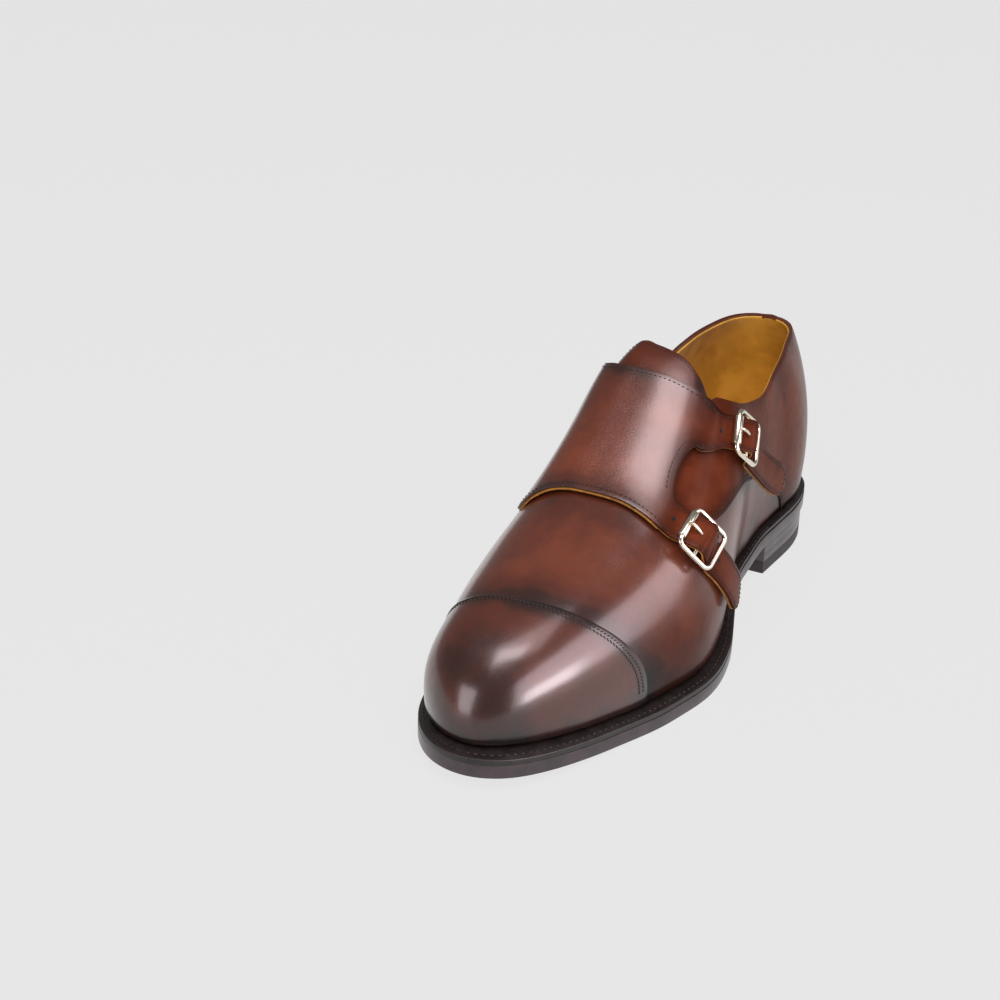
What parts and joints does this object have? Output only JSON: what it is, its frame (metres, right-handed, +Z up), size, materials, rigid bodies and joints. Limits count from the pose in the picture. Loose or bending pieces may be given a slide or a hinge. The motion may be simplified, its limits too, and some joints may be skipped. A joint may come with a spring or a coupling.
{
  "type": "monk strap shoe",
  "caption": "Left cap-toe monk strap shoe in burnished brown leather, with a welted leather sole, a low heel and buckled straps over the instep.",
  "frame": {"origin": "middle of the heel's rest face, on the floor", "axes": "+X from the heel to the toe, +Y to the outer side of the foot, +Z up from the floor"},
  "size_m": [0.302, 0.1035, 0.1253],
  "materials": {
    "upper_leather": "chestnut brown calf, burnished darker along the seams and the toe, high polish",
    "sole_leather": "sole, welt and heel edges inked near black and waxed to a low sheen",
    "top_piece_rubber": "matt black rubber",
    "lining_leather": "soft mustard tan lining leather, matt",
    "buckle_nickel": "polished pale nickel",
    "keeper_leather": "black elastic leather tab, matt"
  },
  "bodies": {
    "root": {"outsole": "sole_leather", "welt": "sole_leather", "heel_stack": "sole_leather", "heel_top_piece": "top_piece_rubber", "insole": "lining_leather", "upper": "upper_leather", "toe_cap": "upper_leather", "tongue": "upper_leather", "strap_flap": "upper_leather", "upper_buckle_frame": "buckle_nickel", "upper_buckle_roller": "buckle_nickel", "upper_buckle_prong": "buckle_nickel", "upper_buckle_keeper": "keeper_leather", "lower_buckle_frame": "buckle_nickel", "lower_buckle_roller": "buckle_nickel", "lower_buckle_prong": "buckle_nickel", "lower_buckle_keeper": "keeper_leather"}
  },
  "joints": []
}
